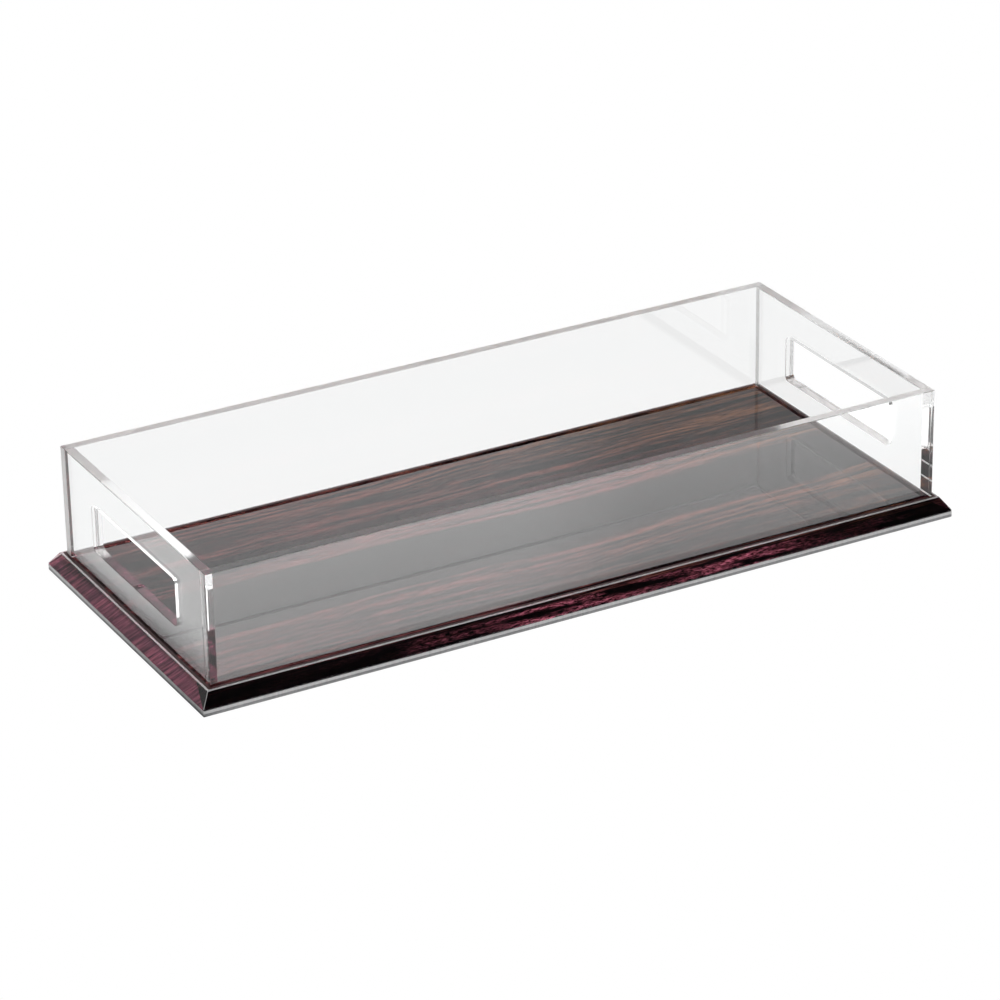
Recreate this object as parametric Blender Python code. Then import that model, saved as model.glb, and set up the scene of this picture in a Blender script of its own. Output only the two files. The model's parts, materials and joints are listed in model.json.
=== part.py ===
"""A clear acrylic display tray on a bevelled base with a wood-grain layer under it.

Units are metres, +Z is up. The tray's length runs along X, its width along Y, and the origin is the
centre of the base's underside. Four clear panels stand on a clear bevelled plate: the two long panels
run the full length, and the two end panels fit between them and have a hand hole each. Under the
bevelled plate lie the wood-grain layer, a thin clear plate and a thin backing sheet.
"""

import math

import bmesh
import bpy

# ---- driving dimensions ----
TRAY_LENGTH = 0.470        # over the outer faces of the end panels
TRAY_WIDTH = 0.192         # over the outer faces of the long panels
WALL_HEIGHT = 0.068        # from the top of the base to the rim
WALL_THICKNESS = 0.006
BASE_OVERHANG = 0.0087     # from a panel's outer face to the base's edge
LEDGE = 0.0031             # flat margin between a panel and the top of the bevel
HOLE_LENGTH = 0.111        # hand hole, along Y
HOLE_HEIGHT = 0.029
HOLE_BOTTOM = 0.0185       # above the top of the base
HOLE_CORNER = 0.0032       # radius of the hand hole's corners
CORNER_STEPS = 6           # straight steps in each rounded corner
EDGE_BREAK = 0.0003        # chamfer that takes the sharpness off an edge
GAP = 0.0003               # between pieces that touch

# ---- the layers of the base, bottom to top ----
BACKING_THICKNESS = 0.0016
LOWER_PLATE_THICKNESS = 0.0016
GRAIN_THICKNESS = 0.0002
BASE_HEIGHT = 0.0122
BEVEL_LAND = 0.0002        # upright strip below the bevel, which is not cut to a knife edge
GRAIN_INSET = 0.0002       # the grain layer stops this far inside the base's edge

BASE_LENGTH = TRAY_LENGTH + 2 * BASE_OVERHANG
BASE_WIDTH = TRAY_WIDTH + 2 * BASE_OVERHANG
LOWER_PLATE_BOTTOM = BACKING_THICKNESS + GAP
GRAIN_BOTTOM = LOWER_PLATE_BOTTOM + LOWER_PLATE_THICKNESS + GAP
BEVELLED_PLATE_BOTTOM = GRAIN_BOTTOM + GRAIN_THICKNESS + GAP
PANEL_BOTTOM = BASE_HEIGHT + GAP
RIM = BASE_HEIGHT + WALL_HEIGHT


def clear_scene():
    """Removes every object that is in the scene."""
    for item in list(bpy.data.objects):
        bpy.data.objects.remove(item, do_unlink=True)


def material(name, colour, roughness, transmission=0.0, alpha=1.0):
    """A Principled material. colour is (r, g, b); nothing on this tray is metal."""
    made = bpy.data.materials.new(name)
    made.use_nodes = True
    shader = made.node_tree.nodes["Principled BSDF"]
    shader.inputs["Base Color"].default_value = (*colour, 1.0)
    shader.inputs["Roughness"].default_value = roughness
    shader.inputs["Metallic"].default_value = 0.0
    shader.inputs["IOR"].default_value = 1.49
    shader.inputs["Transmission Weight"].default_value = transmission
    shader.inputs["Alpha"].default_value = alpha
    made.diffuse_color = (*colour, alpha)
    return made


def new_object(name, mesh_builder, finish, parent=None):
    """Makes one object called name from the bmesh that mesh_builder fills in."""
    mesh = bpy.data.meshes.new(name)
    shape = bmesh.new()
    mesh_builder(shape)
    bmesh.ops.recalc_face_normals(shape, faces=shape.faces)
    shape.to_mesh(mesh)
    shape.free()
    item = bpy.data.objects.new(name, mesh)
    item.parent = parent
    mesh.materials.append(finish)
    bpy.context.scene.collection.objects.link(item)
    return item


def block(name, size, place, finish, parent, edge_break=EDGE_BREAK):
    """A rectangular sheet: size is its extent along X, Y and Z, and place its centre."""

    def build(shape):
        bmesh.ops.create_cube(shape, size=1.0)
        bmesh.ops.scale(shape, vec=size, verts=shape.verts)

    item = new_object(name, build, finish, parent)
    item.location = place
    if edge_break > 0:
        chamfer = item.modifiers.new("edge break", "BEVEL")
        chamfer.width = edge_break
        chamfer.segments = 1
        chamfer.limit_method = "ANGLE"
    return item


def rounded_rectangle(length, height, radius, steps):
    """Points (along Y, along Z) round a rectangle with arcs of that radius for its corners."""
    points = []
    centres = ((1, 1), (-1, 1), (-1, -1), (1, -1))
    for quarter, (side_y, side_z) in enumerate(centres):
        centre_y = side_y * (length / 2 - radius)
        centre_z = side_z * (height / 2 - radius)
        for step in range(steps + 1):
            angle = math.radians(90 * (quarter + step / steps))
            points.append((centre_y + radius * math.cos(angle), centre_z + radius * math.sin(angle)))
    return points


def hand_hole_cutter(name, place, parent):
    """The prism that cuts a hand hole, as long as three panels are thick so that it runs right through."""
    depth = 3 * WALL_THICKNESS

    def build(shape):
        outline = rounded_rectangle(HOLE_LENGTH, HOLE_HEIGHT, HOLE_CORNER, CORNER_STEPS)
        corners = [shape.verts.new((-depth / 2, y, z)) for y, z in outline]
        face = shape.faces.new(corners)
        swept = bmesh.ops.extrude_face_region(shape, geom=[face])
        moved = [v for v in swept["geom"] if isinstance(v, bmesh.types.BMVert)]
        bmesh.ops.translate(shape, vec=(depth, 0, 0), verts=moved)

    cutter = new_object(name, build, bpy.data.materials["clear acrylic"], parent)
    cutter.location = place
    cutter.hide_render = True
    cutter.display_type = "WIRE"
    return cutter


def long_panel(name, side, finish, parent):
    """A long panel; side is -1 at the front (-Y) and 1 at the back."""
    height = RIM - PANEL_BOTTOM
    place = (0, side * (TRAY_WIDTH - WALL_THICKNESS) / 2, PANEL_BOTTOM + height / 2)
    return block(name, (TRAY_LENGTH, WALL_THICKNESS, height), place, finish, parent)


def end_panel(name, side, finish, parent):
    """An end panel with its hand hole; side is -1 at the left (-X) and 1 at the right."""
    height = RIM - PANEL_BOTTOM
    width = TRAY_WIDTH - 2 * WALL_THICKNESS - 2 * GAP
    centre_x = side * (TRAY_LENGTH - WALL_THICKNESS) / 2
    panel = block(
        name, (WALL_THICKNESS, width, height), (centre_x, 0, PANEL_BOTTOM + height / 2), finish, parent
    )
    hole_centre = BASE_HEIGHT + HOLE_BOTTOM + HOLE_HEIGHT / 2
    cutter = hand_hole_cutter(name + " cutter", (centre_x, 0, hole_centre), parent)
    cut = panel.modifiers.new("hand hole", "BOOLEAN")
    cut.operation = "DIFFERENCE"
    cut.solver = "EXACT"
    cut.object = cutter
    return panel


def bevelled_plate(name, finish, parent):
    """The clear plate that the panels stand on: a box drawn in along all four sides above its land."""

    def build(shape):
        bottom = BEVELLED_PLATE_BOTTOM
        land_top = bottom + BEVEL_LAND
        inset = BASE_OVERHANG - LEDGE
        rings = []
        for drawn_in, level in ((0, bottom), (0, land_top), (inset, BASE_HEIGHT)):
            half_x = BASE_LENGTH / 2 - drawn_in
            half_y = BASE_WIDTH / 2 - drawn_in
            corners = ((-half_x, -half_y), (half_x, -half_y), (half_x, half_y), (-half_x, half_y))
            rings.append([shape.verts.new((x, y, level)) for x, y in corners])
        shape.faces.new(rings[0][::-1])
        shape.faces.new(rings[-1])
        for lower, upper in zip(rings, rings[1:]):
            for here in range(4):
                after = (here + 1) % 4
                shape.faces.new((lower[here], lower[after], upper[after], upper[here]))

    return new_object(name, build, finish, parent)


def flat_layer(name, bottom, thickness, inset, finish, parent, edge_break=0.0):
    """A sheet of the base, drawn in from the base's edge by inset."""
    size = (BASE_LENGTH - 2 * inset, BASE_WIDTH - 2 * inset, thickness)
    return block(name, size, (0, 0, bottom + thickness / 2), finish, parent, edge_break)


def build_tray():
    clear_scene()
    acrylic = material("clear acrylic", (0.96, 0.97, 0.97), 0.02, transmission=1.0, alpha=0.3)
    grain = material("wood grain", (0.075, 0.030, 0.028), 0.25)
    edge = material("sawn clear plate", (0.62, 0.63, 0.64), 0.30, transmission=0.6, alpha=0.8)
    backing = material("grey backing", (0.33, 0.34, 0.35), 0.55)

    tray = bpy.data.objects.new("tray", None)
    bpy.context.scene.collection.objects.link(tray)

    flat_layer("backing_sheet", 0, BACKING_THICKNESS, 0, backing, tray, EDGE_BREAK)
    flat_layer("lower_plate", LOWER_PLATE_BOTTOM, LOWER_PLATE_THICKNESS, 0, edge, tray)
    flat_layer("wood_grain_layer", GRAIN_BOTTOM, GRAIN_THICKNESS, GRAIN_INSET, grain, tray)
    bevelled_plate("bevelled_plate", acrylic, tray)
    long_panel("front_panel", -1, acrylic, tray)
    long_panel("back_panel", 1, acrylic, tray)
    end_panel("left_end_panel", -1, acrylic, tray)
    end_panel("right_end_panel", 1, acrylic, tray)


build_tray()
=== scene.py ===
"""Looks of an open display tray: clear acrylic panels on a bevelled clear plate over rosewood print.

Metres, +Z up, X along the tray, the front long panel at -Y. Every piece is one closed mesh. Where two
sheets are cemented, their touching faces carry the "cement_line" material, which lets light straight
through, so that the panels and the plate act as one solid block of acrylic, as they do in the tray.
"""

import json
import math

import bpy
import numpy as np
from mathutils import Matrix, Vector


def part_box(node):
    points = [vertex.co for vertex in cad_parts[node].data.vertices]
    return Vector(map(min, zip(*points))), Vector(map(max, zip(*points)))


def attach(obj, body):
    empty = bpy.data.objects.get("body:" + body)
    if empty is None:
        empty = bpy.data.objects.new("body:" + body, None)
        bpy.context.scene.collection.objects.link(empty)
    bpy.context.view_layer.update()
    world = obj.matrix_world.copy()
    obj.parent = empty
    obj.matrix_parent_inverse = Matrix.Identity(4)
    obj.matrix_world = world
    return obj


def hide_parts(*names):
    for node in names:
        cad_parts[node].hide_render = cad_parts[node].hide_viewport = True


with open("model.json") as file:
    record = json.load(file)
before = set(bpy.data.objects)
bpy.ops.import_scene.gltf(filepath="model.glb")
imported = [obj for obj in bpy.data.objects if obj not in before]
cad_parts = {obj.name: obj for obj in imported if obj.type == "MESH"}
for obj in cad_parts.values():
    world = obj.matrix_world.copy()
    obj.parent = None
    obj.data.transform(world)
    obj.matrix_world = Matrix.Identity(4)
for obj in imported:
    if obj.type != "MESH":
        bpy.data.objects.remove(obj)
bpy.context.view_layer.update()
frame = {"record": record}

# ---- places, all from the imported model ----
FRONT_LOW, FRONT_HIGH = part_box("front_panel")
BACK_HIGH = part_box("back_panel")[1]
PLATE_LOW, PLATE_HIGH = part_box("bevelled_plate")
GRAIN_LOW, GRAIN_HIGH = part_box("wood_grain_layer")
LOWER_LOW, LOWER_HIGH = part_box("lower_plate")
BACKING_LOW, BACKING_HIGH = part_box("backing_sheet")
OPENINGS = {entry["name"]: entry["box_m"] for entry in frame["record"]["physics"]["openings"]}

TRAY_HALF_X = FRONT_HIGH.x              # to the outer face of an end panel
TRAY_HALF_Y = BACK_HIGH.y               # to the outer face of a long panel
SHEET = FRONT_HIGH.y - FRONT_LOW.y      # thickness of a panel
RIM_Z = FRONT_HIGH.z
BASE_TOP = PLATE_HIGH.z                 # the panels stand here
PLATE_HALF_X, PLATE_HALF_Y = PLATE_HIGH.x, PLATE_HIGH.y
PLATE_BOTTOM = (PLATE_LOW.z + GRAIN_HIGH.z) / 2
PRINT_BOTTOM = (GRAIN_LOW.z + LOWER_HIGH.z) / 2
LOWER_BOTTOM = (LOWER_LOW.z + BACKING_HIGH.z) / 2

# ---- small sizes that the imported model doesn't carry ----
ARRIS = 0.00028        # radius of a polished edge
LEDGE = 0.0031         # flat margin outside the panels
LAND = 0.0003          # upright strip under the bevel
BEVEL_ROUND = 0.0006   # radius of the routed edge between the ledge and the bevel
FOOT_LINE = 0.0020     # dark line that shows round the panels' feet
NICK = 0.0003          # cut off each upright corner of the base
HOLE_CLEARANCE = 0.0012    # the record's hand-hole boxes are this much smaller on each side
HOLE_CORNER = 0.0032   # radius of the hand hole's corners
CORNER_STATIONS = 17   # points round each of those corners
FILM_GAP = 0.000004    # keeps two touching faces apart for the ray tracer
PRINT_INSET = 0.0002   # the print stops this far inside the base's edge
PRINT_ROUND = 0.00005  # radius of the print sheet's edges
LOWER_ROUND = 0.0002   # radius of the lower plate's sawn edges
BACKING_ROUND = 0.0003     # radius of the backing sheet's edges
NO_AREA = 1e-14        # square metres; a cell under this is left out
SHARPEST_SMOOTH = 12   # degrees; a sharper turn between faces keeps its edge

ACRYLIC_IOR = 1.49     # refractive index

CLEAR, CEMENT, RIM, FOOT, END = 0, 1, 2, 3, 4    # material slots of a clear piece

# ---- how strongly the rosewood's pale bands show, from its front edge (0) to its back edge (1) ----
LEFT_BANDS = (
    (0.0, 0.02), (0.05, 0.05), (0.085, 0.28), (0.14, 0.45), (0.22, 0.42), (0.26, 0.25), (0.285, 0.5),
    (0.325, 0.45), (0.345, 0.06), (0.57, 0.06), (0.60, 0.6), (0.65, 0.55), (0.68, 0.15), (0.72, 0.15),
    (0.76, 0.6), (0.80, 0.3), (0.86, 0.3), (0.92, 0.8), (1.0, 0.75),
)
RIGHT_BANDS = (
    (0.0, 0.03), (0.05, 0.06), (0.075, 0.25), (0.20, 0.2), (0.235, 0.55), (0.27, 0.45), (0.30, 0.65),
    (0.335, 0.6), (0.355, 0.06), (0.58, 0.08), (0.60, 0.75), (0.66, 0.7), (0.69, 0.2), (0.76, 0.25),
    (0.80, 0.8), (0.84, 0.4), (0.89, 0.35), (0.93, 0.75), (1.0, 0.7),
)

# ---- the print's margins, brightened by painted light ----
# how strongly red flecks show in the front margin, from the left end (0) to the right end (1); their bright
# red is partly the print and partly painted light
FLECK_PLAN = (
    (0.0, 0.01), (0.25, 0.02), (0.30, 0.22), (0.38, 0.30), (0.43, 1.0), (0.50, 0.85), (0.60, 0.22),
    (0.68, 1.0), (0.74, 1.0), (0.79, 0.15), (0.90, 0.10), (0.94, 0.01),
)
END_MARGIN = 0.0150    # the margin at the sheet's ends, brightened by painted light, has faded out this far in
BEVEL_MARGIN = 0.0095  # and under the bevel, this far in, it keeps its full brightness
FRONT_MARGIN = 0.0145  # depth of the margin along the front
FRONT_FADE = 0.0020    # over which it fades out


# ---------------------------------------------------------------- mesh making

def quads(rows, columns, close_rows, close_columns):
    """Corner numbers of the cells of a rows x columns grid of points, wrapping where asked.
    Cell (i, j) joins (i, j), (i + 1, j), (i + 1, j + 1) and (i, j + 1)."""
    i, j = np.meshgrid(
        np.arange(rows if close_rows else rows - 1),
        np.arange(columns if close_columns else columns - 1),
        indexing="ij",
    )
    after_i, after_j = (i + 1) % rows, (j + 1) % columns
    corners = (i * columns + j, after_i * columns + j, after_i * columns + after_j, i * columns + after_j)
    return np.stack(corners, -1).reshape(-1, 4)


def signed_volume(points, faces):
    """Six times the volume inside closed faces: the sum of triple products of each face's fan."""
    total = 0.0
    for face in faces:
        corner = points[face]
        total += (np.cross(corner[1:-1], corner[2:]) @ corner[0]).sum()
    return total


def closed_piece(name, points, faces, slots, finishes, slot, *nodes):
    """Makes a mesh object from points and faces, turns its faces outwards, shades it smooth between
    sharp edges, and fixes it to the tray in place of the CAD nodes named."""
    faces = [np.asarray(face) for face in faces]
    if signed_volume(points, faces) < 0:
        faces = [face[::-1] for face in faces]
    mesh = bpy.data.meshes.new(name)
    mesh.from_pydata(points.tolist(), [], [face.tolist() for face in faces])
    mesh.polygons.foreach_set("material_index", np.asarray(slots, dtype=np.int32))
    for finish in finishes:
        mesh.materials.append(finish)
    mesh.validate()
    mesh.update()
    mesh.shade_smooth()
    mesh.set_sharp_from_angle(angle=math.radians(SHARPEST_SMOOTH))
    piece = bpy.data.objects.new(name, mesh)
    bpy.context.scene.collection.objects.link(piece)
    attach(piece, "root")
    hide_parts(*nodes)
    return piece


def quarter(steps):
    """Sines and cosines from 0 to 90 degrees in equal steps."""
    angle = np.linspace(0, math.pi / 2, steps + 1)
    return np.sin(angle), np.cos(angle)


def long_panel(name, side, finishes, node):
    """A long panel: a rectangle in Y and Z with rounded top corners, carried along X.
    At station x the rectangle is drawn in by d(x) = r - sqrt(r^2 - (r - e)^2), where e is the distance
    to the nearer end and r the arris radius, so that the upright end edges are rounded as well.
    The foot stays level, because it is cemented down."""
    sine, cosine = quarter(3)
    end = TRAY_HALF_X
    inner, outer = TRAY_HALF_Y - SHEET, TRAY_HALF_Y
    # distance of each station from the end, and how far the section is drawn in there
    reach = np.concatenate([ARRIS * (1 - sine[::-1]), [SHEET]])
    inset = np.concatenate([ARRIS * (1 - cosine[::-1]), [0.0]])
    stations = np.concatenate([-(end - reach), (end - reach)[::-1]])
    drawn = np.concatenate([inset, inset[::-1]])
    order = np.argsort(stations)
    stations, drawn = stations[order], drawn[order]
    # the section, from the outer foot round by the inner side and the rim; toward and sink say which
    # way drawing in moves a point
    round_in, round_up = ARRIS * (1 - cosine), ARRIS * (1 - sine)
    across = np.concatenate([[outer, inner], inner + round_in, outer - round_in[::-1]])
    toward = np.concatenate([[-1, 1], np.ones(4), -np.ones(4)])
    level = np.concatenate([[BASE_TOP, BASE_TOP], RIM_Z - round_up, RIM_Z - round_up[::-1]])
    sink = np.concatenate([[0, 0], np.ones(8)])
    y = across[None, :] + toward[None, :] * drawn[:, None]
    z = level[None, :] - sink[None, :] * drawn[:, None]
    x = np.broadcast_to(stations[:, None], y.shape)
    points = np.stack([x, side * y, z], -1).reshape(-1, 3)
    rows, columns = y.shape
    cells = quads(rows, columns, False, True)
    slots = np.full((rows - 1, columns), CLEAR)
    slots[:, 0] = FOOT
    middle = (stations[:-1] + stations[1:]) / 2
    seam = (np.abs(middle) > end - SHEET) & (np.abs(middle) < end - ARRIS)
    slots[seam, 1] = CEMENT    # where the end panels butt
    slots[:, 5] = RIM
    faces = list(cells) + [np.arange(columns), (rows - 1) * columns + np.arange(columns)[::-1]]
    return closed_piece(name, points, faces, list(slots.ravel()) + [END, END], finishes, "panel", node)


def hand_hole_stations(low, high):
    """Stations round a hand hole, each a point on the hole's outline, its outward direction, and the
    point where that direction meets the panel's outline. The hole is a rectangle from low to high
    (Y, Z) with corner arcs of radius HOLE_CORNER; a station goes through each corner of the panel."""
    half_y = TRAY_HALF_Y - SHEET
    hole, way, edge = [], [], []
    for turn, (side_y, side_z) in enumerate(((1, 1), (-1, 1), (-1, -1), (1, -1))):
        centre = np.array([
            (high[0] if side_y > 0 else low[0]) - side_y * HOLE_CORNER,
            (high[1] if side_z > 0 else low[1]) - side_z * HOLE_CORNER,
        ])
        corner = np.array([side_y * half_y, RIM_Z if side_z > 0 else BASE_TOP])
        start = turn * math.pi / 2
        to_corner = math.atan2(*(corner - centre)[::-1]) % (2 * math.pi)
        angle = np.sort(np.append(start + np.linspace(0, math.pi / 2, CORNER_STATIONS), to_corner))
        direction = np.stack([np.cos(angle), np.sin(angle)], -1)
        with np.errstate(divide="ignore"):
            steps = np.where(np.abs(direction) > 1e-9, (corner - centre) / direction, np.inf)
        steps = np.where(steps > 0, steps, np.inf)
        hole.append(centre + HOLE_CORNER * direction)
        way.append(direction)
        edge.append(centre + steps.min(axis=1)[:, None] * direction)
    return np.concatenate(hole), np.concatenate(way), np.concatenate(edge)


def end_panel(name, side, opening, finishes, node):
    """An end panel: a rectangular section carried once round the hand hole. At each station the
    section runs over the hole's rounded lip, out across the outer face, over the panel's edge, and
    back across the inner face. Polished edges are quarter rounds of the arris radius; the foot and
    the butted ends keep square corners where cement fills them."""
    low = (opening[0][1] - HOLE_CLEARANCE, opening[0][2] - HOLE_CLEARANCE)
    high = (opening[1][1] + HOLE_CLEARANCE, opening[1][2] + HOLE_CLEARANCE)
    hole, way, edge = hand_hole_stations(low, high)
    half_y = TRAY_HALF_Y - SHEET
    on_top = np.isclose(edge[:, 1], RIM_Z)
    on_end = np.isclose(np.abs(edge[:, 0]), half_y)
    sine, cosine = quarter(3)
    outer, inner = TRAY_HALF_X, TRAY_HALF_X - SHEET
    x, yz = [], []

    def ring(depth, outline):
        """Adds one ring of the section, at a depth that may differ from station to station."""
        x.append(np.broadcast_to(depth, len(edge)).astype(float))
        yz.append(outline)

    def perimeter(end_inset, top_inset):
        """The panel's outline drawn in by end_inset at the butted ends and top_inset at the rim."""
        drawn = edge.copy()
        drawn[:, 0] -= np.sign(edge[:, 0]) * end_inset * on_end
        drawn[:, 1] -= top_inset * on_top
        return drawn

    for s, c in zip(sine, cosine):                # outer lip of the hole
        ring(outer - ARRIS * (1 - s), hole + way * ARRIS * (1 - c))
    for s, c in zip(sine[::-1], cosine[::-1]):    # outer edge of the outline
        rise = ARRIS * (1 - c)
        ring(outer - ARRIS * (1 - s), perimeter(rise, rise))
    for s, c in zip(sine, cosine):                # inner edge of the outline: round at the rim only
        ring(inner + ARRIS * (1 - s) * on_top, perimeter(0, ARRIS * (1 - c)))
    for s, c in zip(sine[::-1], cosine[::-1]):    # inner lip of the hole
        ring(inner + ARRIS * (1 - s), hole + way * ARRIS * (1 - c))
    x, yz = np.stack(x, 1), np.stack(yz, 1)       # stations by rings
    points = np.concatenate([side * x[..., None], yz], -1).reshape(-1, 3)
    rows, columns = x.shape
    cells = quads(rows, columns, True, True)
    slots = np.full((rows, columns), CLEAR)
    # rings 4 to 11 run over the panel's edge, and the strip from ring 7 to ring 8 is its flat
    middle = (yz[:, 8] + np.roll(yz[:, 8], -1, 0)) / 2
    slots[:, 7] = np.where(np.isclose(np.abs(middle[:, 0]), half_y), CEMENT, RIM)
    slots[np.isclose(middle[:, 1], BASE_TOP), 4:11] = FOOT
    # a round that a station doesn't have leaves cells with no area
    corner = points[cells]
    area = np.linalg.norm(np.cross(corner[:, 2] - corner[:, 0], corner[:, 3] - corner[:, 1]), axis=1)
    keep = area > NO_AREA
    return closed_piece(name, points, list(cells[keep]), slots.ravel()[keep], finishes, "panel", node)


def carried_round(name, half_x, half_y, profile, slots, finishes, slot, node, nick=0.0, nick_slots=None):
    """A flat layer: a profile of (inset, Z) points carried round a rectangle with mitred corners.
    At corner (a, b), with a and b = +-1, a profile point lies at (a (half_x - inset), b (half_y - inset),
    Z). Each corner has two of it, each moved by nick along its side. The first and last rings are closed
    by one face each; slots names the finish of each strip, then of the first and the last face, and
    nick_slots the strips' finishes on the nicked corners."""
    profile = np.asarray(profile, float)
    inset, level = profile[:, 0], profile[:, 1]
    corners = np.array([(-1, -1), (-1, -1), (1, -1), (1, -1), (1, 1), (1, 1), (-1, 1), (-1, 1)], float)
    moved = nick * np.array([(0, 1), (1, 0), (-1, 0), (0, 1), (0, -1), (-1, 0), (1, 0), (0, -1)], float)
    x = corners[:, None, 0] * (half_x - inset)[None, :] + moved[:, None, 0]
    y = corners[:, None, 1] * (half_y - inset)[None, :] + moved[:, None, 1]
    z = np.broadcast_to(level[None, :], x.shape)
    points = np.stack([x, y, z], -1).reshape(-1, 3)
    rows, columns = x.shape
    cells = quads(rows, columns, True, False)
    first = np.arange(rows) * columns
    faces = list(cells) + [first[::-1], first + columns - 1]
    strips = np.tile(np.asarray(slots[:-2]), (rows, 1))
    if nick_slots is not None:
        strips[0::2] = nick_slots
    return closed_piece(name, points, faces, list(strips.ravel()) + list(slots[-2:]), finishes, slot, node)


# ---------------------------------------------------------------- shader helpers

class Graph:
    """Builds the nodes of one material or node group, and sets them out in rows of eight."""

    def __init__(self, tree):
        self.tree = tree
        self.count = 0

    def node(self, kind, settings=None, **inputs):
        """Adds a node, sets its properties, and sets or links its inputs by name."""
        made = self.tree.nodes.new(kind)
        made.location = (240 * (self.count % 8), -260 * (self.count // 8))
        self.count += 1
        for key, value in (settings or {}).items():
            setattr(made, key, value)
        for key, value in inputs.items():
            self.feed(made, key.replace("_", " "), value)
        return made

    def feed(self, node, name, value):
        """Sets the input called name, or number name, of node to a value or links a socket to it."""
        socket = node.inputs[int(name)] if name.isdigit() else node.inputs[name]
        if isinstance(value, bpy.types.NodeSocket):
            self.tree.links.new(value, socket)
        else:
            socket.default_value = value

    def maths(self, operation, *terms, clamp=False):
        """A Math node's result."""
        made = self.node("ShaderNodeMath", {"operation": operation, "use_clamp": clamp})
        for number, term in enumerate(terms):
            self.feed(made, str(number), term)
        return made.outputs[0]

    def mix(self, factor, first, second, blend="MIX"):
        """A colour mix's result."""
        made = self.node("ShaderNodeMix", {"data_type": "RGBA", "blend_type": blend})
        self.feed(made, "0", factor)
        self.feed(made, "6", first)
        self.feed(made, "7", second)
        return made.outputs[2]

    def ramp(self, value, *stops):
        """A colour ramp over (position, colour) stops; a number stands for a grey."""
        made = self.node("ShaderNodeValToRGB")
        self.feed(made, "Fac", value)
        band = made.color_ramp
        while len(band.elements) < len(stops):
            band.elements.new(0.5)
        for element, (place, colour) in zip(band.elements, stops):
            element.position = place
            grey = isinstance(colour, (int, float))
            element.color = (colour, colour, colour, 1) if grey else (*colour, 1)
        return made.outputs["Color"]

    def noise(self, where, scale=1.0, detail=2.0, roughness=0.5):
        """Noise from 0 to 1."""
        made = self.node("ShaderNodeTexNoise", {"noise_dimensions": "3D"}, Vector=where, Scale=scale,
                         Detail=detail, Roughness=roughness)
        return made.outputs["Fac"]

    def stretch(self, where, scale, move=(0, 0, 0)):
        """Coordinates scaled and moved per axis."""
        made = self.node("ShaderNodeMapping")
        self.feed(made, "Vector", where)
        made.inputs["Location"].default_value = move
        made.inputs["Scale"].default_value = scale
        return made.outputs["Vector"]

    def change(self, value, start, end, low=0.0, high=1.0, kind="SMOOTHSTEP"):
        """Goes from low to high as value goes from start to end. SMOOTHSTEP eases in and out."""
        made = self.node("ShaderNodeMapRange", {"interpolation_type": kind}, Value=value,
                         From_Min=start, From_Max=end, To_Min=low, To_Max=high)
        return made.outputs[0]

    def object_place(self):
        """Object coordinates, in metres."""
        return self.node("ShaderNodeTexCoord").outputs["Object"]

    def axes(self, where):
        """X, Y and Z of a vector, by name."""
        return self.node("ShaderNodeSeparateXYZ", None, Vector=where).outputs


def new_group(name, inputs, outputs):
    """An empty node group with named sockets; returns its graph, input node and output node."""
    tree = bpy.data.node_groups.new(name, "ShaderNodeTree")
    kinds = {"colour": "NodeSocketColor", "value": "NodeSocketFloat", "vector": "NodeSocketVector"}
    for label, kind, start in inputs:
        socket = tree.interface.new_socket(label, in_out="INPUT", socket_type=kinds[kind])
        if start is not None:
            socket.default_value = start
    for label, kind in outputs:
        tree.interface.new_socket(label, in_out="OUTPUT", socket_type=kinds[kind])
    graph = Graph(tree)
    return graph, graph.node("NodeGroupInput"), graph.node("NodeGroupOutput")


def use_group(graph, tree, **inputs):
    """Places a node group in a graph, with inputs set by name."""
    return graph.node("ShaderNodeGroup", {"node_tree": tree}, **inputs)


def new_material(name):
    """An empty Principled material and its graph."""
    made = bpy.data.materials.new(name)
    made.use_nodes = True
    graph = Graph(made.node_tree)
    shader = made.node_tree.nodes["Principled BSDF"]
    shader.location = (2200, 0)
    made.node_tree.nodes["Material Output"].location = (2500, 0)
    return made, graph, shader


# ---------------------------------------------------------------- finishes

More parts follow.
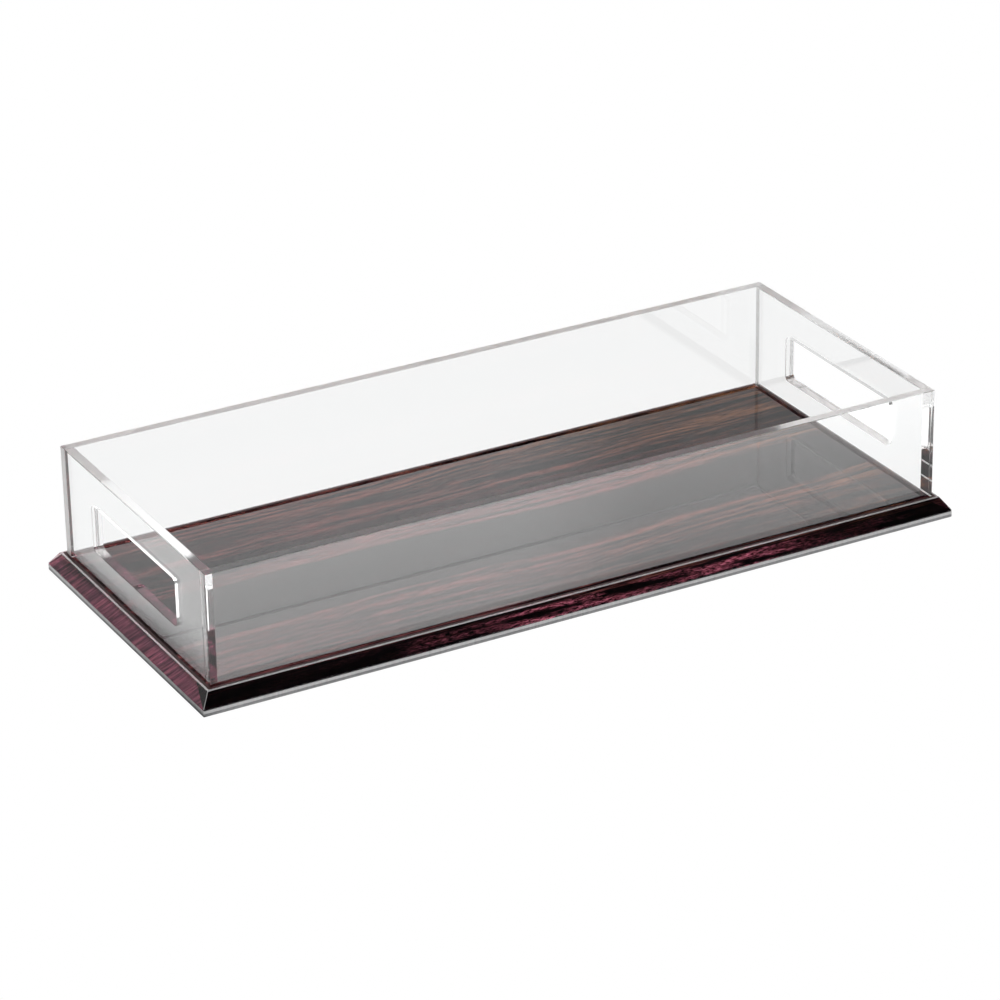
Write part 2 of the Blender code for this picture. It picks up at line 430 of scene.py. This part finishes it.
def rosewood_group():
    """Rosewood figure with its grain along X. Bands lie across the sheet by a plan for its left part
    and one for its right part; each band breaks up into streaks, fibres and short dark pores. The
    margins under the bevels carry a brighter red, partly the print's figure and partly painted light
    that stands in for light entering through the bevel: streaks at the ends, flecks along the front."""
    graph, given, result = new_group(
        "rosewood_figure",
        [
            ("Place", "vector", None),
            ("Half length", "value", 0.24),
            ("Half width", "value", 0.1),
            ("Darkest", "colour", (0.003, 0.002, 0.0025, 1)),
            ("Heartwood", "colour", (0.03, 0.008, 0.011, 1)),
            ("Red streak", "colour", (0.25, 0.075, 0.075, 1)),
            ("Tan streak", "colour", (0.27, 0.115, 0.055, 1)),
            # painted light: the margins' brighter colours stand in for light entering the print through the
            # bevel
            ("Painted light dark", "colour", (0.05, 0.012, 0.03, 1)),
            ("Painted light red", "colour", (0.85, 0.22, 0.32, 1)),
        ],
        [("Color", "colour"), ("Pores", "value")],
    )
    place = given.outputs["Place"]
    half_width = given.outputs["Half width"]
    darkest = given.outputs["Darkest"]

    # the grain's lines wander sideways as they run along the sheet
    drift = graph.noise(graph.stretch(place, (4.5, 9, 0), (1.3, 0, 0)), 1, 1.5)
    wander = graph.noise(graph.stretch(place, (17, 60, 0)), 1, 2)
    wide = graph.maths("MULTIPLY", graph.maths("SUBTRACT", drift, 0.5), 0.022)
    narrow = graph.maths("MULTIPLY", graph.maths("SUBTRACT", wander, 0.5), 0.0035)
    shift = graph.node("ShaderNodeCombineXYZ", None, Y=graph.maths("ADD", wide, narrow)).outputs[0]
    bent = graph.node("ShaderNodeVectorMath", {"operation": "ADD"})
    graph.feed(bent, "0", place)
    graph.feed(bent, "1", shift)
    bent = bent.outputs[0]
    parts = graph.axes(bent)

    # broad bands, by the two plans
    across = graph.maths("MULTIPLY_ADD", graph.maths("DIVIDE", parts["Y"], half_width), 0.5, 0.5)
    left_plan = graph.ramp(across, *LEFT_BANDS)
    right_plan = graph.ramp(across, *RIGHT_BANDS)
    along = graph.ramp(graph.maths("MULTIPLY_ADD", parts["X"], 2.0, 0.5), (0.25, 0.0), (0.72, 1.0))
    plan = graph.mix(along, left_plan, right_plan)

    # streaks, fibres and pores break the bands up
    streaks = graph.noise(graph.stretch(bent, (7, 230, 0), (3, 0, 0)), 1, 4, 0.7)
    fibres = graph.noise(graph.stretch(bent, (60, 1300, 0), (0, 7, 0)), 1, 3, 0.65)
    pits = graph.noise(graph.stretch(bent, (90, 2300, 0), (5, 0, 0)), 1, 1.5)
    pores = graph.ramp(pits, (0.56, 0.0), (0.66, 1.0))
    streak_mask = graph.ramp(streaks, (0.42, 0.0), (0.60, 1.0))
    fibre_mask = graph.ramp(fibres, (0.38, 0.0), (0.64, 1.0))
    streaked = graph.maths("MULTIPLY_ADD", streak_mask, 1.3, 0.1)
    figure = graph.maths("MULTIPLY", graph.maths("ADD", plan, 0.04), streaked)
    figure = graph.maths("MULTIPLY", figure, graph.maths("MULTIPLY_ADD", fibre_mask, 1.3, 0.2), clamp=True)

    # the streaks turn from red at the front left to tan at the back right
    clouds = graph.noise(graph.stretch(place, (3.1, 5, 0), (0.6, 0.2, 0)), 1, 1)
    slant = graph.maths("MULTIPLY", graph.maths("ADD", parts["X"], parts["Y"]), 0.8)
    hue = graph.ramp(graph.maths("ADD", clouds, slant), (0.45, 0.0), (0.72, 1.0))
    streak_colour = graph.mix(hue, given.outputs["Red streak"], given.outputs["Tan streak"])
    heart = graph.ramp(figure, (0.02, 0.0), (0.30, 1.0))
    dark = graph.mix(heart, darkest, given.outputs["Heartwood"])
    colour = graph.mix(graph.ramp(figure, (0.15, 0.0), (0.85, 1.0)), dark, streak_colour)
    colour = graph.mix(graph.maths("MULTIPLY", pores, 0.7), colour, darkest)

    # a point belongs to the end margin where the end is nearer than half the distance to the front
    straight = graph.axes(place)
    to_end = graph.maths("SUBTRACT", given.outputs["Half length"], graph.maths("ABSOLUTE", straight["X"]))
    to_front = graph.maths("ADD", half_width, straight["Y"])
    at_end = graph.maths("LESS_THAN", to_end, graph.maths("MULTIPLY", to_front, 0.5))
    elsewhere = graph.maths("SUBTRACT", 1.0, at_end)
    length = graph.maths("MULTIPLY_ADD", straight["X"], 2.0, 0.5)

    def margin(distance, depth, fade):
        """1 at the sheet's edge, falling to 0 at depth over the distance fade."""
        return graph.change(distance, depth - fade, depth, 1.0, 0.0, "LINEAR")

    # painted light: bright red streaks in the end margin, stronger at the left, standing in for light
    # entering through the bevel
    ribbons = graph.noise(graph.stretch(place, (22, 480, 0), (2, 1, 0)), 1, 5, 0.85)
    bands = graph.noise(graph.stretch(place, (9, 70, 0), (5, 2, 0)), 1, 2)
    band_strength = graph.ramp(bands, (0.34, 0.18), (0.62, 0.44))
    ribbon_mask = graph.maths("MULTIPLY", graph.ramp(ribbons, (0.42, 0.0), (0.58, 1.0)), band_strength)
    end_painted_light = graph.mix(ribbon_mask, given.outputs["Painted light dark"], given.outputs["Painted light red"])
    stronger_left = graph.ramp(length, (0.4, 1.0), (0.6, 0.15))
    end_light_strength = graph.maths("MULTIPLY", at_end, stronger_left)
    end_light_mask = graph.maths("MULTIPLY", end_light_strength, margin(to_end, END_MARGIN, END_MARGIN - BEVEL_MARGIN))
    colour = graph.mix(end_light_mask, colour, end_painted_light)

    # partly the print, partly painted light: red flecks in the brighter red under the front bevel
    flecks = graph.noise(graph.stretch(place, (230, 1100, 0), (0, 3, 0)), 1, 4, 0.8)
    patches = graph.noise(graph.stretch(place, (22, 160, 0), (4, 0, 0)), 1, 2)
    patchy = graph.ramp(patches, (0.40, 0.02), (0.58, 1.0))
    strength = graph.maths("MULTIPLY", graph.ramp(length, *FLECK_PLAN), patchy)
    fleck_mask = graph.maths("MULTIPLY", strength, graph.ramp(flecks, (0.47, 0.0), (0.57, 1.0)))
    front_painted_light = graph.mix(fleck_mask, darkest, given.outputs["Painted light red"])
    front_light_mask = graph.maths("MULTIPLY", elsewhere, margin(to_front, FRONT_MARGIN, FRONT_FADE))
    colour = graph.mix(front_light_mask, colour, front_painted_light)
    graph.feed(result, "Color", colour)
    graph.feed(result, "Pores", pores)
    return graph.tree


def handling_group():
    """What making and handling leave on polished acrylic: a slight ripple, faint smears, and dust that
    dulls a few spots."""
    graph, given, result = new_group(
        "handling_marks",
        [
            ("Place", "vector", None),
            ("Smear", "value", 0.02),
            ("Dust", "value", 0.2),
            ("Ripple", "value", 1.0),
        ],
        [("Roughness", "value"), ("Dust", "value"), ("Height", "value")],
    )
    place = given.outputs["Place"]
    smear = graph.ramp(graph.noise(graph.stretch(place, (16, 16, 30)), 1, 3, 0.6), (0.52, 0.0), (0.85, 1.0))
    specks = graph.node("ShaderNodeTexVoronoi", {"feature": "F1"}, Vector=place, Scale=420.0)
    near = graph.ramp(specks.outputs["Distance"], (0.03, 1.0), (0.07, 0.0))
    chosen = graph.ramp(graph.noise(place, 160, 1), (0.66, 0.0), (0.70, 1.0))
    dust = graph.maths("MULTIPLY", graph.maths("MULTIPLY", near, chosen), given.outputs["Dust"])
    smeared = graph.maths("MULTIPLY", smear, given.outputs["Smear"])
    rough = graph.maths("ADD", smeared, graph.maths("MULTIPLY", dust, 0.5))
    ripple = graph.maths("MULTIPLY", graph.noise(place, 22, 1), given.outputs["Ripple"])
    graph.feed(result, "Roughness", rough)
    graph.feed(result, "Dust", dust)
    graph.feed(result, "Height", ripple)
    return graph.tree


def sawn_group():
    """Fine upright lines that a saw leaves on the edge of a sheet, and broader patches."""
    graph, given, result = new_group(
        "sawn_edge",
        [("Place", "vector", None), ("Line pitch", "value", 0.0006), ("Depth", "value", 1.0)],
        [("Lines", "value"), ("Patches", "value"), ("Height", "value")],
    )
    place = given.outputs["Place"]
    turns = graph.maths("DIVIDE", 1.0, given.outputs["Line pitch"])
    scaled = graph.node("ShaderNodeVectorMath", {"operation": "MULTIPLY"})
    graph.feed(scaled, "0", place)
    graph.feed(scaled, "1", graph.node("ShaderNodeCombineXYZ", None, X=turns, Y=turns, Z=40.0).outputs[0])
    lines = graph.noise(scaled.outputs[0], 1, 2, 0.6)
    patches = graph.noise(graph.stretch(place, (28, 28, 500)), 1, 3, 0.6)
    graph.feed(result, "Lines", lines)
    graph.feed(result, "Patches", patches)
    graph.feed(result, "Height", graph.maths("MULTIPLY", lines, given.outputs["Depth"]))
    return graph.tree


def clear_acrylic(name, marks, tint, smear, dust, ripple, satin=0.0):
    """Clear acrylic: light bends through it, and it mirrors a little at a slant. satin is the
    roughness that polishing leaves."""
    made, graph, shader = new_material(name)
    group = use_group(graph, marks, Place=graph.object_place(), Smear=smear, Dust=dust, Ripple=ripple)
    lightness = graph.ramp(group.outputs["Dust"], (0.0, tint), (1.0, tuple(0.6 * c for c in tint)))
    height = group.outputs["Height"]
    bump = graph.node("ShaderNodeBump", None, Strength=0.15, Distance=0.0002, Height=height)
    shader.inputs["IOR"].default_value = ACRYLIC_IOR
    shader.inputs["Transmission Weight"].default_value = 1.0
    shader.inputs["Metallic"].default_value = 0.0
    graph.feed(shader, "Base Color", lightness)
    graph.feed(shader, "Roughness", graph.maths("ADD", group.outputs["Roughness"], satin))
    graph.feed(shader, "Normal", bump.outputs[0])
    return made


def cement_line():
    """A solvent-cemented joint between two clear sheets: nothing is left there to bend light."""
    made, _, shader = new_material("cement_line")
    shader.inputs["Base Color"].default_value = (1, 1, 1, 1)
    shader.inputs["Alpha"].default_value = 0.0
    shader.inputs["Specular IOR Level"].default_value = 0.0
    return made


# where the painted light on the panels' cemented feet sets in: along Y towards the back, along X to the
# right
RIM_LIGHT_BACK = (0.055, 0.062)
RIM_LIGHT_RIGHT = (0.155, 0.165)


def cement_foot():
    """The cemented foot of a panel. A pale sheet lies on it as painted light, standing in for light carried
    along the panels that brightens the rims; it shows from above, down the panel, and not from the side. It
    is left clean at the front left."""
    made, graph, shader = new_material("cement_foot")
    place = graph.object_place()
    parts = graph.axes(place)
    at_back = graph.change(parts["Y"], *RIM_LIGHT_BACK, kind="LINEAR")
    at_right = graph.change(parts["X"], *RIM_LIGHT_RIGHT, kind="LINEAR")
    spread = graph.maths("MAXIMUM", at_back, at_right)
    blots = graph.noise(graph.stretch(place, (60, 60, 60)), 1, 3, 0.6)
    patches = graph.ramp(blots, (0.3, 0.86), (0.7, 0.97))
    slant = graph.node("ShaderNodeLayerWeight", None, Blend=0.5).outputs["Facing"]
    steep = graph.ramp(slant, (0.38, 1.0), (0.55, 0.0))
    # painted light: the pale sheet's share, set by place and by the slant of the view
    haze = graph.maths("MULTIPLY", graph.maths("MULTIPLY", spread, patches), steep)
    graph.feed(shader, "Alpha", haze)
    shader.inputs["Base Color"].default_value = (0.86, 0.83, 0.82, 1)
    shader.inputs["Roughness"].default_value = 0.8
    shader.inputs["Specular IOR Level"].default_value = 0.0
    return made


def cut_end(name, clearness):
    """The upright cut end of a long panel: nearly polished, with some haze left by the cutter. clearness
    is the share of the light that goes through."""
    made, _, shader = new_material(name)
    shader.inputs["IOR"].default_value = ACRYLIC_IOR
    shader.inputs["Transmission Weight"].default_value = clearness
    shader.inputs["Roughness"].default_value = 0.05
    shader.inputs["Base Color"].default_value = (0.85, 0.85, 0.85, 1)
    return made


def routed_edge(marks):
    """The router's edge along the top of the bevel: clear, with a satin bloom that catches the light."""
    made, graph, shader = new_material("routed_edge")
    group = use_group(graph, marks, Place=graph.object_place(), Smear=0.1, Dust=0.5, Ripple=0.0)
    shader.inputs["IOR"].default_value = ACRYLIC_IOR
    shader.inputs["Transmission Weight"].default_value = 0.7
    bloom = graph.ramp(group.outputs["Dust"], (0.0, (0.74, 0.73, 0.74)), (1.0, (0.5, 0.5, 0.5)))
    graph.feed(shader, "Base Color", bloom)
    graph.feed(shader, "Roughness", graph.maths("ADD", group.outputs["Roughness"], 0.2))
    return made


def foot_line(figure):
    """The dark line round the panels' feet, where the print's own dark red shows in the joint."""
    made, graph, shader = new_material("foot_line")
    group = use_group(graph, figure, Place=graph.object_place(),
                      Half_length=PLATE_HALF_X, Half_width=PLATE_HALF_Y)
    tone = graph.ramp(group.outputs["Pores"], (0.0, (0.022, 0.005, 0.005)), (1.0, (0.006, 0.002, 0.002)))
    graph.feed(shader, "Base Color", tone)
    shader.inputs["Roughness"].default_value = 0.35
    shader.inputs["Specular IOR Level"].default_value = 0.1
    return made


def printed_grain(figure):
    """Dark rosewood print under the clear plate. The acrylic touches it, so it has no gloss of its own."""
    made, graph, shader = new_material("rosewood_print")
    group = use_group(graph, figure, Place=graph.object_place(),
                      Half_length=PLATE_HALF_X, Half_width=PLATE_HALF_Y)
    shader.inputs["Roughness"].default_value = 0.6
    shader.inputs["Specular IOR Level"].default_value = 0.0
    graph.feed(shader, "Base Color", group.outputs["Color"])
    return made


def sawn_sheet(name, edge, dark, light, roughness):
    """The edge of a sheet of the base, with saw lines and patches between a dark and a light tone."""
    made, graph, shader = new_material(name)
    group = use_group(graph, edge, Place=graph.object_place(), Line_pitch=0.0011, Depth=1.0)
    lines, patches, height = (group.outputs[label] for label in ("Lines", "Patches", "Height"))
    tone = graph.maths("ADD", graph.maths("MULTIPLY", lines, 0.5), graph.maths("MULTIPLY", patches, 0.5))
    bump = graph.node("ShaderNodeBump", None, Strength=0.25, Distance=0.00005, Height=height)
    graph.feed(shader, "Base Color", graph.ramp(tone, (0.38, dark), (0.62, light)))
    graph.feed(shader, "Roughness", graph.ramp(patches, (0.3, roughness), (0.7, roughness + 0.15)))
    graph.feed(shader, "Normal", bump.outputs[0])
    return made


# ---------------------------------------------------------------- the tray

marks = handling_group()
edges = sawn_group()
panel_acrylic = clear_acrylic("panel_acrylic", marks, (0.97, 0.975, 0.975),
                              smear=0.012, dust=0.5, ripple=0.25)
plate_acrylic = clear_acrylic("plate_acrylic", marks, (0.97, 0.97, 0.97),
                              smear=0.02, dust=0.6, ripple=0.25)
rim_acrylic = clear_acrylic("rim_acrylic", marks, (0.94, 0.94, 0.94),
                            smear=0.04, dust=0.4, ripple=0.5, satin=0.30)
cement = cement_line()
painted_rim_light = cement_foot()
front_end_finish = cut_end("front_cut_end", clearness=0.95)
back_end_finish = cut_end("back_cut_end", clearness=0.38)
rosewood = rosewood_group()
print_finish = printed_grain(rosewood)
routed_finish = routed_edge(marks)
line_finish = foot_line(rosewood)
lower_finish = sawn_sheet("sawn_clear_edge", edges, (0.42, 0.42, 0.425), (0.56, 0.56, 0.565), roughness=0.3)
backing_finish = sawn_sheet("grey_backing", edges, (0.19, 0.19, 0.195), (0.3, 0.3, 0.305), roughness=0.4)

clear_finishes = (panel_acrylic, cement, rim_acrylic, painted_rim_light)
long_panel("front_panel_clear", -1, (*clear_finishes, front_end_finish), "front_panel")
long_panel("back_panel_clear", 1, (*clear_finishes, back_end_finish), "back_panel")
end_panel("left_end_panel_clear", -1, OPENINGS["left_hand_hole"], clear_finishes, "left_end_panel")
end_panel("right_end_panel_clear", 1, OPENINGS["right_hand_hole"], clear_finishes, "right_end_panel")


def bevelled_plate_profile():
    """Profile of the bevelled plate from its underside in to the panels, and how many of its strips are
    routed: those of the round and the ledge. The round is an arc of radius r tangent to the bevel, which
    leaves the ledge at an angle a, and to the ledge: its points are (w + r tan(a/2) - r sin t,
    top - r (1 - cos t)) for t from a to 0, where w is the bevel's width."""
    overhang = PLATE_HALF_X - TRAY_HALF_X
    bevel_width = overhang - LEDGE
    slope = math.atan2(BASE_TOP - PLATE_BOTTOM - LAND, bevel_width)
    turn = np.linspace(slope, 0, 6)
    inset = bevel_width + BEVEL_ROUND * (math.tan(slope / 2) - np.sin(turn))
    level = BASE_TOP - BEVEL_ROUND * (1 - np.cos(turn))
    edge = [(0.0, PLATE_BOTTOM + FILM_GAP), (0.0, PLATE_BOTTOM + LAND)]
    foot = [(overhang - FOOT_LINE, BASE_TOP), (overhang, BASE_TOP), (overhang + SHEET, BASE_TOP)]
    return edge + list(zip(inset, level)) + foot, len(turn)


def soft_edged_layer(bottom, top, inset, radius):
    """Profile of a layer with its two outer corners rounded, from the underside up to the top. Each
    corner is a quarter circle: its points are the radius times 1 - sin t inwards and times 1 - cos t
    upwards from the layer's outline, for t from 0 to 90 degrees, and the same mirrored at the top."""
    sine, cosine = quarter(2)
    lower = list(zip(inset + radius * (1 - sine), bottom + radius * (1 - cosine)))
    upper = list(zip(inset + radius * (1 - cosine), top - radius * (1 - sine)))
    return lower + upper


def base_layer(name, bottom, top, inset, radius, finish, slot, node):
    """A flat sheet of the base, with one finish all over."""
    profile = soft_edged_layer(bottom, top, inset, radius)
    slots = [0] * (len(profile) + 1)
    carried_round(name, PLATE_HALF_X, PLATE_HALF_Y, profile, slots, (finish,), slot, node, NICK)


POLISHED, JOINED, ROUTED, LINE = 0, 1, 2, 3    # material slots of the bevelled plate
plate_profile, routed = bevelled_plate_profile()
plate_slots = [POLISHED, POLISHED] + [ROUTED] * routed + [LINE, JOINED, JOINED, POLISHED]
nick_slots = [POLISHED, ROUTED] + [ROUTED] * routed + [LINE, JOINED]
plate_finishes = (plate_acrylic, cement, routed_finish, line_finish)
carried_round("bevelled_plate_clear", PLATE_HALF_X, PLATE_HALF_Y, plate_profile, plate_slots,
              plate_finishes, "base_plate", "bevelled_plate", NICK, nick_slots)

base_layer("rosewood_print_sheet", PRINT_BOTTOM, PLATE_BOTTOM, PRINT_INSET, PRINT_ROUND,
           print_finish, "wood_grain", "wood_grain_layer")
base_layer("lower_plate_sawn", LOWER_BOTTOM, PRINT_BOTTOM - FILM_GAP, 0.0, LOWER_ROUND,
           lower_finish, "lower_plate", "lower_plate")
base_layer("backing_sheet_grey", BACKING_LOW.z, LOWER_BOTTOM - FILM_GAP, 0.0, BACKING_ROUND,
           backing_finish, "backing", "backing_sheet")


# ---------------------------------------------------------------- studio

WHITE = (1, 1, 1, 1)
FLOOR_RADIUS = 12.0
FLOOR_SIDES = 96
FLOOR_DROP = 0.00002    # the floor lies this far under the base, so that the two don't touch
UNDER_EDGE = 0.007      # the glow at either end changes over this distance under the base's edge
AHEAD = 0.004           # the glow in front sets in over this distance ahead of the base's edge
BEHIND = (0.108, 0.115)     # Y over which the floor beside the tray gives way to the floor behind it
LEFT_SHADE = (-0.012, 0.028)    # distance out from the left edge over which the tray's shade ends
NEAR_FRONT, FAR_FRONT = -0.125, -0.24    # Y between which the floor in front grows brighter


def floor_glow(graph, place):
    """How brightly the floor shines on the tray. In front it grows with distance; at the left the tray
    shades it close to the base; at the right and behind it is nearly even."""
    parts = graph.axes(place)

    def blend(factor, first, second):
        """first where factor is 0, second where it is 1."""
        gap = graph.maths("SUBTRACT", second, first)
        return graph.maths("ADD", first, graph.maths("MULTIPLY", factor, gap))

    # the four sides of the base
    right = graph.change(parts["X"], PLATE_HALF_X - UNDER_EDGE, PLATE_HALF_X)
    left = graph.change(parts["X"], -PLATE_HALF_X, UNDER_EDGE - PLATE_HALF_X, 1.0, 0.0)
    behind = graph.change(parts["Y"], *BEHIND)
    ahead = graph.change(parts["Y"], -PLATE_HALF_Y - AHEAD, -PLATE_HALF_Y, 1.0, 0.0)

    # what each of them shines with
    leftward = graph.maths("SUBTRACT", graph.maths("MULTIPLY", parts["Y"], 0.08), parts["X"])
    from_left = graph.change(leftward, *(PLATE_HALF_X + out for out in LEFT_SHADE), 0.0, 1.35)
    beside = blend(left, blend(right, 1.02, 1.05), from_left)
    beyond = blend(right, 1.02, 0.94)
    in_front = graph.change(parts["Y"], FAR_FRONT, NEAR_FRONT, 2.35, 1.35, "LINEAR")
    return blend(ahead, blend(behind, beside, beyond), in_front)


def floor():
    """A round floor that is lit from below like a light table. It looks plain white; what it sends to
    the tray varies."""
    angle = np.linspace(0, 2 * math.pi, FLOOR_SIDES, endpoint=False)
    level = np.full(FLOOR_SIDES, -FLOOR_DROP)
    points = np.stack([FLOOR_RADIUS * np.cos(angle), FLOOR_RADIUS * np.sin(angle), level], -1)
    mesh = bpy.data.meshes.new("studio_floor")
    mesh.from_pydata(points.tolist(), [], [list(range(FLOOR_SIDES))])
    made = bpy.data.materials.new("white_floor")
    made.use_nodes = True
    tree = made.node_tree
    tree.nodes.clear()
    graph = Graph(tree)
    glow = floor_glow(graph, graph.object_place())
    sent = graph.node("ShaderNodeEmission", None, Color=WHITE, Strength=glow)
    plain = graph.node("ShaderNodeEmission", None, Color=WHITE, Strength=1.0)
    direct = graph.node("ShaderNodeLightPath").outputs["Is Camera Ray"]
    either = graph.node("ShaderNodeMixShader", None, Fac=direct)
    tree.links.new(sent.outputs[0], either.inputs[1])
    tree.links.new(plain.outputs[0], either.inputs[2])
    graph.node("ShaderNodeOutputMaterial", None, Surface=either.outputs[0])
    mesh.materials.append(made)
    made_object = bpy.data.objects.new("studio_floor", mesh)
    bpy.context.scene.collection.objects.link(made_object)


def surroundings():
    """Soft light from behind and above, and a dark room in front, by the direction of the light."""
    world = bpy.data.worlds.new("studio")
    bpy.context.scene.world = world
    world.use_nodes = True
    tree = world.node_tree
    tree.nodes.clear()
    graph = Graph(tree)
    way = graph.node("ShaderNodeTexCoord").outputs["Generated"]
    parts = graph.axes(way)
    behind = graph.change(parts["Y"], -0.45, 0.30, 0.02, 1.0)
    # degrees round from straight behind the tray, to its right
    turn = graph.maths("MULTIPLY", graph.maths("ARCTAN2", parts["X"], parts["Y"]), 180 / math.pi)
    right_edge = graph.change(turn, 28.5, 31.0, 1.0, 0.0)
    left_edge = graph.change(turn, -28.0, -15.0)
    panel_glow = graph.maths("MULTIPLY", graph.maths("MULTIPLY", right_edge, left_edge), 0.72)
    base_glow = graph.change(turn, -40.0, -10.0, 0.45, 0.78)
    side_glow = graph.maths("ADD", panel_glow, base_glow)
    # overhead the light no longer depends on the side
    overhead = graph.change(parts["Z"], 0.70, 0.90)
    even = graph.maths("MULTIPLY", overhead, graph.maths("SUBTRACT", 0.6, side_glow))
    glow = graph.maths("MULTIPLY", behind, graph.maths("ADD", side_glow, even))
    sky = graph.node("ShaderNodeBackground", None, Color=WHITE, Strength=glow)
    graph.node("ShaderNodeOutputWorld", None, Surface=sky.outputs[0])


SOFTBOX_HEIGHT = 1.5
SOFTBOX_WIDTH = 1.3
# name, depth along Y, centre along Y, power in watts
SOFTBOXES = (("back_softbox", 0.50, 0.47, 30.0), ("front_softbox", 0.35, -0.375, 21.0))


def softboxes():
    """Two wide soft lamps above the tray, one towards its back and one towards its front. They light
    the print through the plate, but no polished face mirrors them."""
    for name, depth, place, power in SOFTBOXES:
        lamp = bpy.data.lights.new(name, "AREA")
        lamp.shape = "RECTANGLE"
        lamp.size, lamp.size_y = SOFTBOX_WIDTH, depth
        lamp.energy = power
        item = bpy.data.objects.new(name, lamp)
        item.location = (0, place, SOFTBOX_HEIGHT)
        item.visible_glossy = False
        bpy.context.scene.collection.objects.link(item)


# the camera's place, and the directions of the picture's right and top edges
CAMERA_PLACE = Vector((-1.07181, -1.96765, 1.09734))
CAMERA_RIGHT = Vector((0.87482, -0.48419, -0.01597))
CAMERA_UP = Vector((0.22124, 0.36998, 0.90231))
SENSOR_MM, LENS_MM = 36.0, 153.7


def camera():
    """The camera stands at the angle the tray is shown from, 2.5 metres away."""
    lens = bpy.data.cameras.new("camera")
    lens.sensor_width, lens.lens = SENSOR_MM, LENS_MM
    lens.clip_start, lens.clip_end = 0.05, 60
    item = bpy.data.objects.new("camera", lens)
    bpy.context.scene.collection.objects.link(item)
    turned = Matrix((CAMERA_RIGHT, CAMERA_UP, CAMERA_RIGHT.cross(CAMERA_UP))).transposed()
    item.matrix_world = Matrix.Translation(CAMERA_PLACE) @ turned.to_4x4()
    bpy.context.scene.camera = item


floor()
surroundings()
softboxes()
camera()
scene = bpy.context.scene
scene.view_settings.view_transform = "Standard"
# light takes many turns inside the clear sheets before it leaves them
scene.cycles.max_bounces = 64
scene.cycles.glossy_bounces = 48
scene.cycles.transmission_bounces = 48
scene.cycles.transparent_max_bounces = 64
